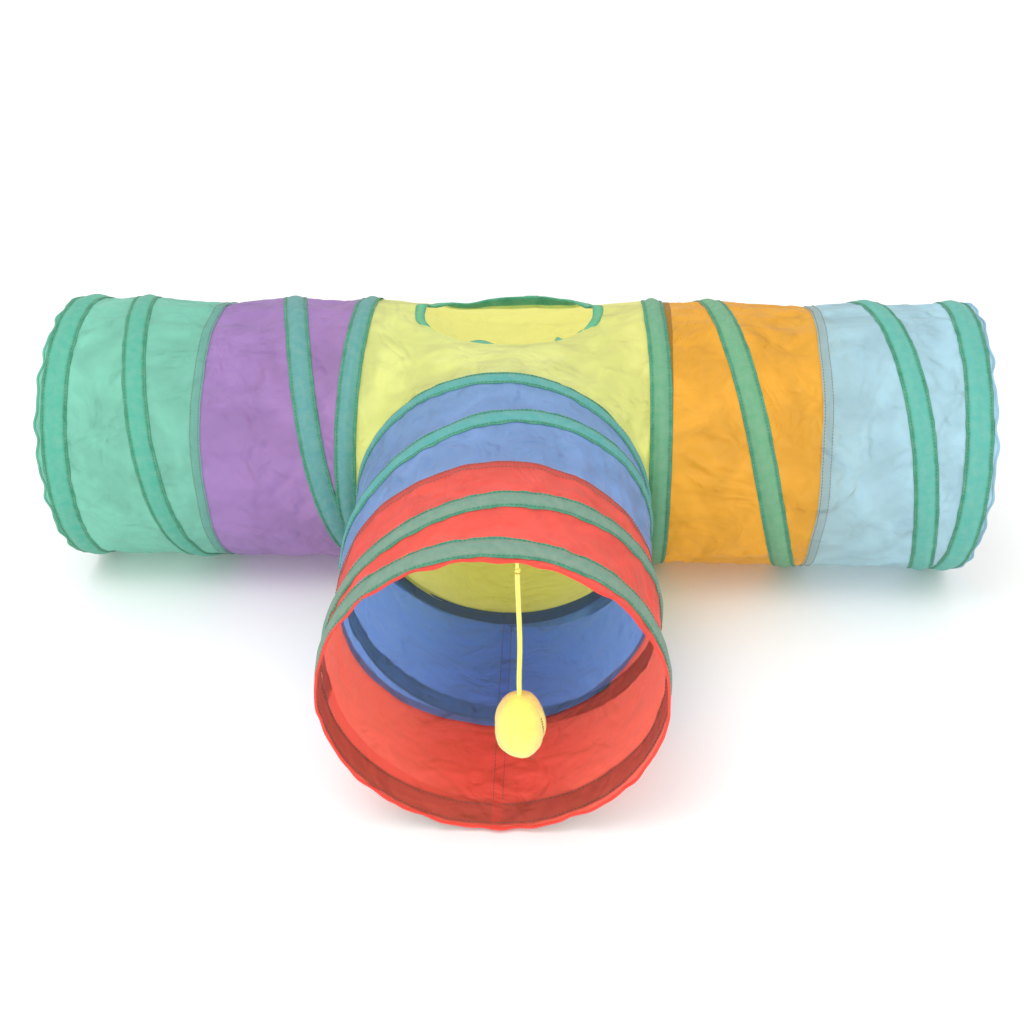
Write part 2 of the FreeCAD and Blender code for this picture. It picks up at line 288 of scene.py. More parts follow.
def add_studio():
    world = bpy.data.worlds.new("studio")
    world.use_nodes = True
    world.node_tree.nodes["Background"].inputs["Color"].default_value = (1, 1, 1, 1)
    world.node_tree.nodes["Background"].inputs["Strength"].default_value = 1.12
    bpy.context.scene.world = world
    bpy.context.scene.view_settings.view_transform = "Standard"
    area_light("key", (-0.5, -0.7, 1.9), (0, 0, 0.1), (1.0, 1.0), 10)
    area_light("front", (0.05, -1.7, 0.75), (0, -0.1, 0.08), (1.0, 0.6), 9)

    bpy.ops.mesh.primitive_plane_add(size=30, location=(0, 0, -0.3 * MM))
    floor = bpy.context.object
    floor.name = "studio_floor"
    material = bpy.data.materials.new("floor_paper")
    material.use_nodes = True
    shader = material.node_tree.nodes["Principled BSDF"]
    shader.inputs["Base Color"].default_value = (0.93, 0.93, 0.93, 1)
    shader.inputs["Roughness"].default_value = 0.9
    shader.inputs["Specular IOR Level"].default_value = 0.1
    floor.data.materials.append(material)


# ---------------------------------------------------------------- materials


class Nodes:
    """A small helper for writing a material's node tree."""

    def __init__(self, name):
        self.material = bpy.data.materials.new(name)
        self.material.use_nodes = True
        self.tree = self.material.node_tree
        self.shader = self.tree.nodes["Principled BSDF"]
        self.output = self.tree.nodes["Material Output"]

    def add(self, kind, **values):
        node = self.tree.nodes.new(kind)
        for key, item in values.items():
            if hasattr(node, key):
                setattr(node, key, item)
            else:
                node.inputs[key.replace("_", " ")].default_value = item
        return node

    def link(self, source, target):
        self.tree.links.new(source, target)

    def attribute(self, name, output="Fac"):
        return self.add("ShaderNodeAttribute", attribute_name=name).outputs[output]

    def mix(self, factor, a, b, blend="MIX"):
        """A colour between a and b, each a colour or an output."""
        node = self.add("ShaderNodeMix", data_type="RGBA", blend_type=blend)
        for socket, item in ((node.inputs[0], factor), (node.inputs[6], a), (node.inputs[7], b)):
            if isinstance(item, bpy.types.NodeSocket):
                self.link(item, socket)
            else:
                socket.default_value = item
        return node.outputs[2]

    def ramp(self, source, low, high, start=0.0, stop=1.0):
        node = self.add("ShaderNodeMapRange")
        self.link(source, node.inputs["Value"])
        for key, item in (("From Min", low), ("From Max", high), ("To Min", start), ("To Max", stop)):
            node.inputs[key].default_value = item
        return node.outputs["Result"]

    def texture(self, vector, scale, detail=2.0, kind="FBM", rough=0.5, distortion=0.0):
        node = self.add("ShaderNodeTexNoise", noise_type=kind)
        self.link(vector, node.inputs["Vector"])
        node.inputs["Scale"].default_value = scale
        node.inputs["Detail"].default_value = detail
        node.inputs["Roughness"].default_value = rough
        node.inputs["Distortion"].default_value = distortion
        return node.outputs["Fac"]

    def crease_lines(self, vector, scale):
        """Thin broken creases: how much painted shade each gets, and the height of the fold beside it."""
        warp = self.add("ShaderNodeTexNoise")
        self.link(vector, warp.inputs["Vector"])
        warp.inputs["Scale"].default_value = scale * 0.7
        warp.inputs["Detail"].default_value = 3.0
        push = self.add("ShaderNodeVectorMath", operation="MULTIPLY_ADD")
        self.link(warp.outputs["Color"], push.inputs[0])
        push.inputs[1].default_value = (0.035, 0.035, 0.035)
        self.link(vector, push.inputs[2])
        cells = self.add("ShaderNodeTexVoronoi", feature="DISTANCE_TO_EDGE")
        self.link(push.outputs["Vector"], cells.inputs["Vector"])
        cells.inputs["Scale"].default_value = scale
        reach = cells.outputs["Distance"]
        broken = self.ramp(self.texture(vector, scale * 1.1, 2), 0.50, 0.62)
        thin = self.ramp(reach, 0.0, 0.035, 1.0, 0.0)
        soft = self.ramp(reach, 0.0, 0.22, 1.0, 0.0)
        out = []
        for height in (thin, soft):
            product = self.add("ShaderNodeMath", operation="MULTIPLY")
            self.link(height, product.inputs[0])
            self.link(broken, product.inputs[1])
            out.append(product.outputs[0])
        return out

    def weave(self, vector, pitch):
        """Two sets of threads that cross, at a pitch in metres, along the cloth's own axes."""
        heights = []
        for axis in ("X", "Y"):
            node = self.add("ShaderNodeTexWave", wave_type="BANDS", bands_direction=axis)
            self.link(vector, node.inputs["Vector"])
            node.inputs["Scale"].default_value = math.pi / (10 * pitch)
            node.inputs["Distortion"].default_value = 0.0
            heights.append(node.outputs["Fac"])
        top = self.add("ShaderNodeMath", operation="MAXIMUM")
        self.link(heights[0], top.inputs[0])
        self.link(heights[1], top.inputs[1])
        return top.outputs[0]

    def bump(self, height, strength, distance, normal=None):
        node = self.add("ShaderNodeBump")
        node.inputs["Strength"].default_value = strength
        node.inputs["Distance"].default_value = distance
        self.link(height, node.inputs["Height"])
        if normal is not None:
            self.link(normal, node.inputs["Normal"])
        return node.outputs["Normal"]

    def finish_cloth(self, colour, normal, through, light):
        """Principled cloth that also lets some light through, with the same colour and bumps."""
        self.link(colour, self.shader.inputs["Base Color"])
        self.link(normal, self.shader.inputs["Normal"])
        sheer = self.add("ShaderNodeBsdfTranslucent")
        self.link(light, sheer.inputs["Color"])
        self.link(normal, sheer.inputs["Normal"])
        both = self.add("ShaderNodeMixShader")
        both.inputs["Fac"].default_value = through
        self.link(self.shader.outputs[0], both.inputs[1])
        self.link(sheer.outputs[0], both.inputs[2])
        self.link(both.outputs[0], self.output.inputs["Surface"])
        return self.material


def taffeta(name, colour, through=0.52, inside=None, band=(0.8, 0.95, 0.9)):
    """Thin nylon taffeta with a fine weave, crush creases and patches of lighter and darker tone, with a painted
    highlight on the crush ridges, painted shade in the crease lines and under the tapes, and painted light on the
    inside faces.
    """
    n = Nodes(name)
    rest = n.attribute("rest", "Vector")
    cloth = n.attribute("cloth", "Vector")
    n.shader.inputs["Roughness"].default_value = 0.46
    n.shader.inputs["Specular IOR Level"].default_value = 0.38
    n.shader.inputs["Sheen Weight"].default_value = 0.12
    n.shader.inputs["Sheen Roughness"].default_value = 0.35

    pale = tuple(min(255, c + 0.35 * (255 - c)) for c in colour)
    deep = tuple(c * 0.93 for c in colour)
    patches = n.ramp(n.texture(rest, 22, 2, rough=0.5, distortion=0.6), 0.40, 0.62)
    tone = n.mix(patches, linear(deep), linear(colour))
    crush = n.texture(rest, 36, 3, kind="RIDGED_MULTIFRACTAL", rough=0.5, distortion=0.6)
    # Painted highlight: the crush ridges are mixed towards a paler colour, as if they caught the light.
    crush_highlight = n.ramp(crush, 1.1, 1.9, 0.0, 0.3)
    tone = n.mix(crush_highlight, tone, linear(pale))
    # Darker where two plies lie together at the seam; on the root strips this is also painted shade under the
    # junction tape.
    tone = n.mix(n.attribute("ply_and_shade"), tone, linear(tuple(c * 0.93 for c in colour)))
    # Painted light: the inside faces get a colour of their own, set to stand in for the light inside the tube.
    if inside is not None:
        back = n.add("ShaderNodeNewGeometry").outputs["Backfacing"]
        tone = n.mix(back, tone, linear(inside))
    # Painted shade under the tapes: where a tape covers the fabric, the colour is darkened to 0.93 and the light
    # let through is tinted by band, standing in for the light the tape holds back.
    tape_shade_mask = n.attribute("cover")
    shaded = tuple(c * 0.93 for c in (inside or colour))
    tone = n.mix(tape_shade_mask, tone, linear(shaded))
    thin = n.mix(tape_shade_mask, tone, linear([c * f for c, f in zip(shaded, band)]))

    line, where = n.crease_lines(rest, 30)
    # Painted shade: the crease lines are darkened to 0.78 of the colour, as if shade fell in them.
    tone = n.mix(n.ramp(line, 0, 1, 0.0, 0.16), tone, linear(tuple(c * 0.78 for c in colour)))
    creases = n.texture(rest, 24, 4, kind="RIDGED_MULTIFRACTAL", rough=0.45, distortion=0.8)
    folds = n.texture(rest, 18, 2, rough=0.5, distortion=1.4)
    normal = n.bump(folds, 0.8, 0.011)
    normal = n.bump(creases, 0.75, 0.0016, normal)
    normal = n.bump(where, 0.9, 0.0014, normal)
    normal = n.bump(n.weave(cloth, 0.45 * MM), 0.25, 0.00005, normal)
    return n.finish_cloth(tone, normal, through, thin)


def tape_cloth(name="green_tape"):
    """Sheer woven tape: pale over the wire, saturated where the edges are folded and sewn."""
    n = Nodes(name)
    rest = n.attribute("rest", "Vector")
    cloth = n.attribute("cloth", "Vector")
    n.shader.inputs["Roughness"].default_value = 0.5
    n.shader.inputs["Specular IOR Level"].default_value = 0.35
    n.shader.inputs["Sheen Weight"].default_value = 0.15
    edge = n.attribute("edge")
    mottled = n.ramp(n.texture(rest, 60, 3), 0.35, 0.7)
    sewn = n.mix(mottled, linear((62, 160, 124)), linear((84, 184, 148)))
    tone = n.mix(n.ramp(edge, 0, 1, 0, 0.85), n.attribute("under", "Color"), sewn)
    streaks = n.ramp(n.texture(cloth, 130, 3, rough=0.6), 0.35, 0.7, 0.0, 0.25)
    tone = n.mix(streaks, tone, linear((190, 225, 205)))
    puckers = n.texture(cloth, 160, 2, distortion=0.4)
    normal = n.bump(puckers, 0.35, 0.001)
    normal = n.bump(n.texture(rest, 45, 3), 0.4, 0.003, normal)
    normal = n.bump(n.weave(cloth, 0.6 * MM), 0.3, 0.00008, normal)
    return n.finish_cloth(tone, normal, 0.5, tone)


def thread(name, colour):
    """Spun polyester sewing thread."""
    n = Nodes(name)
    n.shader.inputs["Roughness"].default_value = 0.6
    n.shader.inputs["Sheen Weight"].default_value = 0.2
    rest = n.add("ShaderNodeTexCoord").outputs["Object"]
    tone = n.mix(n.texture(rest, 900, 2), linear(tuple(c * 0.8 for c in colour)), linear(colour))
    n.link(tone, n.shader.inputs["Base Color"])
    n.link(n.bump(n.texture(rest, 2500, 1), 0.4, 0.0001), n.shader.inputs["Normal"])
    return n.material


def steel(name="spring_steel"):
    n = Nodes(name)
    n.shader.inputs["Metallic"].default_value = 1.0
    rest = n.add("ShaderNodeTexCoord").outputs["Object"]
    streaks = n.texture(rest, 300, 4)
    n.link(n.mix(streaks, (0.32, 0.33, 0.35, 1), (0.55, 0.56, 0.58, 1)), n.shader.inputs["Base Color"])
    n.link(n.ramp(streaks, 0.2, 0.8, 0.22, 0.4), n.shader.inputs["Roughness"])
    return n.material


def plush(name, colour, fibre, strength):
    """Short-haired neon fabric: fuzzy, matt, brighter where the pile catches the light."""
    n = Nodes(name)
    n.shader.inputs["Roughness"].default_value = 0.85
    n.shader.inputs["Sheen Weight"].default_value = 0.55
    n.shader.inputs["Sheen Roughness"].default_value = 0.5
    rest = n.attribute("rest", "Vector")
    pile = n.texture(rest, fibre, 4, rough=0.7, distortion=0.8)
    patches = n.ramp(n.texture(rest, 70, 3), 0.35, 0.65)
    warm = (min(255, colour[0] + 8), colour[1] - 16, colour[2] - 6)
    tone = n.mix(patches, linear(warm), linear(colour))
    tone = n.mix(n.ramp(pile, 0.3, 0.7), n.mix(0.25, tone, (0.3, 0.28, 0.02, 1)), tone)
    n.link(tone, n.shader.inputs["Base Color"])
    n.link(n.bump(pile, strength, 0.0012), n.shader.inputs["Normal"])
    n.shader.inputs["Subsurface Weight"].default_value = 0.0
    return n.material


# ---------------------------------------------------------------- meshes


def new_object(name, verts, faces, material, body, smooth=True):
    mesh = bpy.data.meshes.new(name)
    mesh.from_pydata([tuple(v) for v in np.asarray(verts, float).reshape(-1, 3)], [], faces)
    mesh.validate()
    if smooth:
        mesh.shade_smooth()
    mesh.materials.append(material)
    obj = bpy.data.objects.new(name, mesh)
    bpy.context.collection.objects.link(obj)
    write_attribute(mesh, "rest", np.asarray(verts, float).reshape(-1, 3))
    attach(obj, body)
    return obj


def write_attribute(mesh, name, values):
    values = np.asarray(values, np.float32)
    if values.ndim == 1:
        kind, key = "FLOAT", "value"
    elif values.shape[1] == 3:
        kind, key = "FLOAT_VECTOR", "vector"
    else:
        kind, key = "FLOAT_COLOR", "color"
    attribute = mesh.attributes.get(name) or mesh.attributes.new(name, kind, "POINT")
    attribute.data.foreach_set(key, values.ravel())


def grid_faces(rows, columns, closed=False):
    """Quads of a grid of points; closed joins the last column to the first."""
    i, j = np.meshgrid(np.arange(rows - 1), np.arange(columns - (0 if closed else 1)), indexing="ij")
    k = (j + 1) % columns
    quads = np.stack([i * columns + j, i * columns + k, (i + 1) * columns + k, (i + 1) * columns + j], -1)
    return quads.reshape(-1, 4).tolist()


def crumple(points, seed, height, size):
    """Small uneven hills and creases for cloth that was folded and crushed, as heights."""
    shift = Vector((seed * 3.7, seed * 1.3, seed * 2.1))
    out = np.empty(len(points))
    for i, p in enumerate(points):
        q = Vector(p) / size + shift
        out[i] = noise.noise(q) + 0.5 * abs(noise.noise(q * 2.3)) - 0.1
    return height * out


def settle(name, points, faces, pins, excess, frames=14, bend=0.02):
    """Lets a sheet of cloth settle on its pinned points and returns where its points come to rest."""
    mesh = bpy.data.meshes.new(name)
    mesh.from_pydata([tuple(p) for p in points], [], faces)
    cloth = bpy.data.objects.new(name, mesh)
    bpy.context.collection.objects.link(cloth)
    group = cloth.vertex_groups.new(name="pins")
    for weight in np.unique(np.round(pins, 2)):
        if weight > 0:
            chosen = np.nonzero(np.round(pins, 2) == weight)[0]
            group.add(chosen.tolist(), float(weight), "REPLACE")
    modifier = cloth.modifiers.new("settle", "CLOTH")
    rules = modifier.settings
    rules.quality = 6
    rules.mass = 0.06
    rules.tension_stiffness = 12
    rules.compression_stiffness = 12
    rules.shear_stiffness = 4
    rules.bending_stiffness = bend
    rules.vertex_group_mass = "pins"
    rules.pin_stiffness = 20
    rules.shrink_min = -excess
    rules.effector_weights.gravity = 0.3
    modifier.collision_settings.use_collision = False
    modifier.collision_settings.use_self_collision = False
    modifier.point_cache.frame_start = 1
    modifier.point_cache.frame_end = frames
    for step in range(1, frames + 1):
        bpy.context.scene.frame_set(step)
    settled = cloth.evaluated_get(bpy.context.evaluated_depsgraph_get())
    out = np.empty(len(points) * 3, np.float32)
    settled.data.vertices.foreach_get("co", out)
    out = out.reshape(-1, 3).astype(float)
    bpy.data.objects.remove(cloth)
    bpy.data.meshes.remove(mesh)
    bpy.context.scene.frame_set(1)
    return out


class Tube:
    """An arm's settled fabric, which can be read at any distance along the arm and angle round it."""

    def __init__(self, arm, seed):
        self.arm = arm
        self.first = arm.junction - 26 * MM
        self.last = arm.end + 10 * MM
        rows = int(round((self.last - self.first) / GRID_STEP)) + 1
        self.step = (self.last - self.first) / (rows - 1)
        self.turn = 360 / GRID_TURNS
        u, theta = np.meshgrid(
            self.first + self.step * np.arange(rows), self.turn * np.arange(GRID_TURNS), indexing="ij"
        )
        gap = arm.nearest_wire(u, theta)
        hang = SAG * (1 - np.exp(-((gap / SAG_REACH) ** 2)))
        start = arm.place(u, theta, RADIUS - hang)
        flat = start.reshape(-1, 3)
        outward = (flat - (CENTRE + u.reshape(-1, 1) * arm.out)) / RADIUS
        free = np.clip((gap.reshape(-1) - 3 * MM) / (10 * MM), 0, 1)
        flat = flat + outward * (free * crumple(flat, seed, 1.5 * MM, 26 * MM))[:, None]
        near = np.clip(1 - (gap.reshape(-1) - 6 * MM) / (6 * MM), 0, 1)
        mouth = np.clip((u.reshape(-1) - arm.hoop) / (5 * MM), 0, 1)
        pins = np.maximum(near, mouth)
        pins[(u <= self.first + 1e-6).reshape(-1)] = 1
        faces = grid_faces(rows, GRID_TURNS, closed=True)
        flat = settle(arm.name + "_settling", flat, faces, pins, excess=0.005)
        low = 0.6 * MM
        grid = self.smooth_seam(flat.reshape(rows, GRID_TURNS, 3), start, u, theta)
        grid[..., 2] = np.maximum(grid[..., 2], low)
        self.grid = grid

    def smooth_seam(self, grid, start, u, theta):
        """The doubled strip at the seam is stiffer, so it ripples less than the rest."""
        offset = grid - start
        weights = np.hanning(15)[1:-1]
        weights /= weights.sum()
        smooth = sum(w * np.roll(offset, turn, axis=1) for turn, w in zip(range(-6, 7), weights))
        share = 0.9 * np.exp(-(((u - self.arm.seam_at(theta) - 3 * MM) / (9 * MM)) ** 2))[..., None]
        return start + offset * (1 - share) + smooth * share

    def at(self, u, theta):
        """Points on the fabric, by Catmull-Rom interpolation of the settled grid."""
        u, theta = np.broadcast_arrays(np.asarray(u, float), np.asarray(theta, float))
        row = np.clip((u - self.first) / self.step, 0, self.grid.shape[0] - 1.0001)
        column = np.mod(theta, 360) / self.turn
        i, j = np.floor(row).astype(int), np.floor(column).astype(int)
        s, t = row - i, column - j

        def weights(x):
            return (
                0.5 * (-x + 2 * x**2 - x**3),
                0.5 * (2 - 5 * x**2 + 3 * x**3),
                0.5 * (x + 4 * x**2 - 3 * x**3),
                0.5 * (-(x**2) + x**3),
            )

        total = 0.0
        for a, wa in zip((-1, 0, 1, 2), weights(s)):
            rows = np.clip(i + a, 0, self.grid.shape[0] - 1)
            for b, wb in zip((-1, 0, 1, 2), weights(t)):
                total = total + (wa * wb)[..., None] * self.grid[rows, (j + b) % GRID_TURNS]
        return total

    def above(self, u, theta, height):
        """Points at a height over the fabric, outwards."""
        small, turn = 0.8 * MM, 0.6
        along = self.at(u + small, theta) - self.at(u - small, theta)
        round_ = self.at(u, theta + turn) - self.at(u, theta - turn)
        normal = np.cross(round_, along)
        normal /= np.linalg.norm(normal, axis=-1, keepdims=True)
        axis = CENTRE + np.asarray(u)[..., None] * self.arm.out
        points = self.at(u, theta)
        sign = np.sign(np.sum(normal * (points - axis), axis=-1, keepdims=True))
        return points + normal * sign * np.asarray(height)[..., None]


def cover_at(arm, u, theta):
    """1 where a tape lies on the fabric, 0 where it's bare: the mask of the painted shade under the tapes."""
    theta = np.mod(theta, 360)
    junction, helix, later, hoop = arm.wires(theta)
    cover = 0.0
    widths = (arm.junction_width, arm.helix_width, arm.helix_width, arm.hoop_width)
    for wire, width in zip((junction, helix, later, hoop), widths):
        edge = np.abs(u - wire) - width / 2
        cover = np.maximum(cover, np.clip(0.5 - edge / (1.2 * MM), 0, 1))
    return cover


def panel(tube, name, start, stop, material, body, seed, squash=None, sink=0.0):
    """A rectangle of taffeta rolled into a tube, lapped and sewn along the bottom."""
    arm = tube.arm
    theta = np.linspace(-LAP, 360 + LAP, FINE_TURNS)
    length = float(np.mean(stop(theta) - start(theta)))
    rows = max(4, int(round(length / FINE_STEP)) + 1)
    share = np.linspace(0, 1, rows)[:, None]
    u = start(theta)[None, :] * (1 - share) + stop(theta)[None, :] * share
    angle = np.broadcast_to(theta, u.shape)
    lap = np.where(angle < LAP, -0.25 * MM, 0) + np.where(angle > 360 - LAP, 0.25 * MM, 0)
    points = tube.at(u, angle)
    gap = arm.nearest_wire(u, angle)
    loose = np.clip((gap - 6 * MM) / (12 * MM), 0, 1)
    ripple = crumple(points.reshape(-1, 3), seed, 0.6 * MM, 11 * MM).reshape(u.shape) * loose
    past = u - arm.seam_at(angle)
    ply_and_shade = np.clip(1 + past / (0.4 * MM), 0, 1) * np.clip((SEAM_BAND - past) / (0.8 * MM), 0, 1)
    ripple = ripple * np.clip((np.abs(past - 4 * MM) - 5 * MM) / (6 * MM), 0.1, 1)
    height = lap + ripple + 0.45 * MM * ply_and_shade - sink
    if "inner" in name:
        height = lap + ripple - sink * (1 - share) - 0.85 * MM * np.clip(1 + past / (1.5 * MM), 0, 1)
        # On the root strip the fabric is doubled, and it also gets painted shade from the junction tape over it.
        ply_and_shade = np.full_like(u, 0.8 if "root" in name else 0.0)
    points = tube.above(u, angle, height)
    obj = new_object(name, points, grid_faces(rows, len(theta)), material, body)
    write_attribute(obj.data, "cover", cover_at(arm, u, angle).reshape(-1))
    write_attribute(obj.data, "ply_and_shade", ply_and_shade.reshape(-1))
    cloth = np.stack([np.radians(angle) * RADIUS, u, np.zeros_like(u)], -1)
    write_attribute(obj.data, "cloth", cloth.reshape(-1, 3))
    fold(obj, squash)
    return obj, length


def fold(obj, squash):
    """Gives a piece that is to be squashed its own copy of its mesh."""
    if squash:
        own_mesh(obj)


def tape_outline(width, crown):
    """Across a tape, as (offset, height, edge tone): folded edges and an arch over the wire."""
    half = width / 2
    flat = 3.6 * MM
    left = [
        (-half + 3.4 * MM, 0.25 * MM, 1.0),
        (-half + 0.2 * MM, 0.30 * MM, 1.0),
        (-half - 0.1 * MM, 0.65 * MM, 1.0),
        (-half + 0.5 * MM, 1.0 * MM, 1.0),
        (-half + 2.2 * MM, 0.95 * MM, 1.0),
        (-half + flat - 0.6 * MM, 0.75 * MM, 0.9),
        (-half + flat, 0.8 * MM, 0.35),
    ]
    arch = []
    for k in range(-5, 6):
        s = k / 6
        arch.append((s * (half - flat), 0.8 * MM + crown * (1 - s * s) ** 1.2, 0.0))
    right = [(-w, h, e) for w, h, e in reversed(left)]
    return left + arch + right


def tape(tube, name, path, width, crown, angles, under, material, body, squash=None, wobble=0.15):
    """A tape sewn on the fabric along a path: path gives the distance along the arm at each angle."""
    outline = tape_outline(width, crown)
    u = path(angles)
    slope = np.gradient(u, np.radians(angles) * RADIUS)
    across_u = 1 / np.sqrt(1 + slope**2)
    across_turn = -slope * across_u
    ripple = wave(angles, (wobble * MM, 21, 0), (0.6 * wobble * MM, 37, 70), (0.4 * wobble * MM, 58, 9))
    lift = 1 + wave(angles, (0.05, 9, 40), (0.04, 23, 10), (0.03, 41, 0))
    columns = []
    edges = []
    reach = []
    for offset, height, edge in outline:
        w = offset + ripple * (1 if offset > 0 else -0.6) * (abs(offset) / (width / 2))
        h = np.where(edge < 0.5, height * lift, height) * np.ones_like(u)
        columns.append(
            tube.above(u + w * across_u, angles + np.degrees(w * across_turn / RADIUS), h)
        )
        edges.append(np.full_like(u, edge))
        reach.append(np.full_like(u, offset))
    points = np.stack(columns, 1)
    points[..., 2] = np.maximum(points[..., 2], 0.15 * MM)
    obj = new_object(name, points, grid_faces(len(u), len(outline)), material, body)
    write_attribute(obj.data, "edge", np.stack(edges, 1).reshape(-1))
    run = np.broadcast_to((np.radians(angles) * RADIUS)[:, None], points.shape[:2])
    cloth = np.stack([np.stack(reach, 1), run, np.zeros_like(run)], -1)
    write_attribute(obj.data, "cloth", cloth.reshape(-1, 3))
    tones = np.array([sheer(under(a, b)) for a, b in zip(u, angles)])
    tones = np.repeat(tones[:, None, :], len(outline), 1)
    write_attribute(obj.data, "under", tones.reshape(-1, 4))
    fold(obj, squash)
    return obj


def stitches(tube, name, lines, material, body, squash=None, pitch=3.4 * MM):
    """Rows of short threads: each line is (distances, angles, height) along the fabric."""
    corners = []
    for u, theta, height in lines:
        length = np.concatenate([[0], np.cumsum(np.hypot(np.diff(u), np.radians(np.diff(theta)) * RADIUS))])
        count = int(length[-1] / pitch)
        for part, share in ((0, 0.0), (1, 0.68)):
            at = (np.arange(count) + share) * pitch
            ends = tube.above(
                np.interp(at, length, u), np.interp(at, length, theta), np.full(count, height)
            )
            corners.append(ends)
    verts, faces = [], []
    for a, b in zip(corners[0::2], corners[1::2]):
        along = b - a
        along /= np.linalg.norm(along, axis=1, keepdims=True)
        axis = CENTRE + np.outer((a - CENTRE) @ tube.arm.out, tube.arm.out)
        up = a - axis
        up /= np.linalg.norm(up, axis=1, keepdims=True)
        side = np.cross(along, up)
        thick = 0.28 * MM
        for k in range(len(a)):
            base = len(verts)
            verts.append(a[k] - up[k] * 0.3 * MM)
            for end, push in ((a[k], 0.25), (b[k], -0.25)):
                for x, y in ((1, 0), (0, 1), (-1, 0), (0, -1)):
                    verts.append(end + along[k] * push * MM + side[k] * x * thick + up[k] * y * thick)
            verts.append(b[k] - up[k] * 0.3 * MM)
            for m in range(4):
                p, q = base + 1 + m, base + 1 + (m + 1) % 4
                faces.append((base, q, p))
                faces.append((p, q, q + 4, p + 4))
                faces.append((base + 9, p + 4, q + 4))
    obj = new_object(name, verts, faces, material, body)
    fold(obj, squash)
    return obj


def rod(name, points, radius, material, body, closed=False, sides=8):
    """A round rod along a line of points; radius may change along it."""
    points = np.asarray(points, float)
    radius = np.broadcast_to(radius, (len(points),))
    if closed:
        along = np.roll(points, -1, 0) - np.roll(points, 1, 0)
    else:
        along = np.gradient(points, axis=0)
    along /= np.linalg.norm(along, axis=1, keepdims=True)
    up = np.cross(along, np.array([0.31, 0.77, 0.56]))
    up /= np.linalg.norm(up, axis=1, keepdims=True)
    side = np.cross(along, up)
    turn = np.arange(sides) * 2 * math.pi / sides
    rings = (
        points[:, None]
        + radius[:, None, None] * (
            np.cos(turn)[None, :, None] * up[:, None] + np.sin(turn)[None, :, None] * side[:, None]
        )
    )
    count = len(points)
    faces = grid_faces(count, sides, closed=True)
    if closed:
        last = (count - 1) * sides
        faces += [[last + k, last + (k + 1) % sides, (k + 1) % sides, k] for k in range(sides)]
    else:
        faces += [list(range(sides))[::-1], [(count - 1) * sides + k for k in range(sides)]]
    return new_object(name, rings, faces, material, body)


def upper_colour(arm):
    """The colour of the fabric under a point of a tape."""
    def under(u, theta):
        if u < arm.junction_at(theta):
            return YELLOW
        return arm.inner_colour if u < arm.seam_at(theta) else arm.outer_colour
    return under


# ---------------------------------------------------------------- the toy


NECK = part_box("toy_cord")
TOY_X = (NECK[0].x + NECK[1].x) / 2
TOY_Y = (NECK[0].y + NECK[1].y) / 2
CORD_WIDTH = NECK[1].x - NECK[0].x
CORD_TOP = NECK[1].z
BALL_LOW, BALL_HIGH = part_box("toy_cover")


def make_ball(material):
    """A stuffed egg of four gores, a little slack and uneven, with a small dip at the top for the cord."""
    rows, columns = 72, 96
    height = BALL_HIGH.z - BALL_LOW.z
    half = (BALL_HIGH.x - BALL_LOW.x) / 2
    centre = np.array([TOY_X, TOY_Y, BALL_LOW.z + height / 2])
    verts = []
    for i in range(rows):
        polar = 0.03 + (math.pi - 0.06) * i / (rows - 1)
        for j in range(columns):
            turn = 2 * math.pi * j / columns
            level = math.cos(polar)
            wide = math.sin(polar) ** 0.86 * (1 - 0.07 * level)
            seam = abs(math.sin(2 * turn + 0.5 + 0.25 * level))
            groove = 0.05 * math.exp(-((seam / 0.16) ** 2)) * math.sin(polar)
            p = Vector((math.cos(turn) * wide, math.sin(turn) * wide, level))
            dent = 0.05 * noise.noise(p * 1.7 + Vector((4, 1, 7))) + 0.018 * noise.noise(p * 6)
            size = 1 - groove + dent
            verts.append(centre + np.array([
                half * 0.985 * p.x * size, half * 0.985 * p.y * size, height / 2 * level * (1 + 0.3 * dent)
            ]))
    verts.append(centre + np.array([0, 0, height / 2 * 0.93]))
    verts.append(centre - np.array([0, 0, height / 2 * 0.96]))
    faces = grid_faces(rows, columns, closed=True)
    top, bottom = len(verts) - 2, len(verts) - 1
    for j in range(columns):
        faces.append([top, (j + 1) % columns, j])
        last = (rows - 1) * columns
        faces.append([bottom, last + j, last + (j + 1) % columns])
    ball = new_object("toy_ball", verts, faces, material, "toy")
    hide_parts("toy_cover", "toy_stuffing")
    return ball


def make_cord(material):
    """The elastic cord from the knot at the hem to the ball."""
    route = (
        (0.0, 0.0, 0.0), (0.0, 0.0, -8.0), (0.3, 0.1, -24.0), (0.7, 0.2, -42.0),
        (0.9, -0.1, -60.0), (0.3, -0.2, -78.0), (-0.3, 0.1, -93.0), (-0.2, 0.0, -106.0),
    )
    curve = bpy.data.curves.new("toy_cord_line", "CURVE")
    curve.dimensions = "3D"
    spline = curve.splines.new("NURBS")
    spline.points.add(len(route) - 1)
    for point, (x, y, z) in zip(spline.points, route):
        point.co = (TOY_X + x * MM, TOY_Y + y * MM, CORD_TOP + z * MM, 1)
    spline.order_u = 3
    spline.use_endpoint_u = True
    curve.resolution_u = 12
    curve.bevel_depth = CORD_WIDTH / 2
    curve.bevel_resolution = 4
    curve.use_fill_caps = True
    curve.materials.append(material)
    cord = bpy.data.objects.new("toy_cord_line", curve)
    bpy.context.collection.objects.link(cord)
    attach(cord, "toy")
    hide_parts("toy_cord")


def make_knot(material):
    """The knot that stops the cord above its exit."""
    low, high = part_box("toy_hitch")
    centre = np.array((low + high) / 2)
    turns = np.linspace(0, 2 * math.pi, 90, endpoint=False)
    ring = 1.1 * MM + 0.5 * MM * np.cos(3 * turns)
    points = centre + np.stack([
        ring * np.cos(2 * turns), ring * np.sin(2 * turns), 1.0 * MM * np.sin(3 * turns)
    ], -1)
    knot = rod("toy_knot", points, 0.7 * MM, material, "toy_hitch", closed=True)
    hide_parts("toy_hitch")


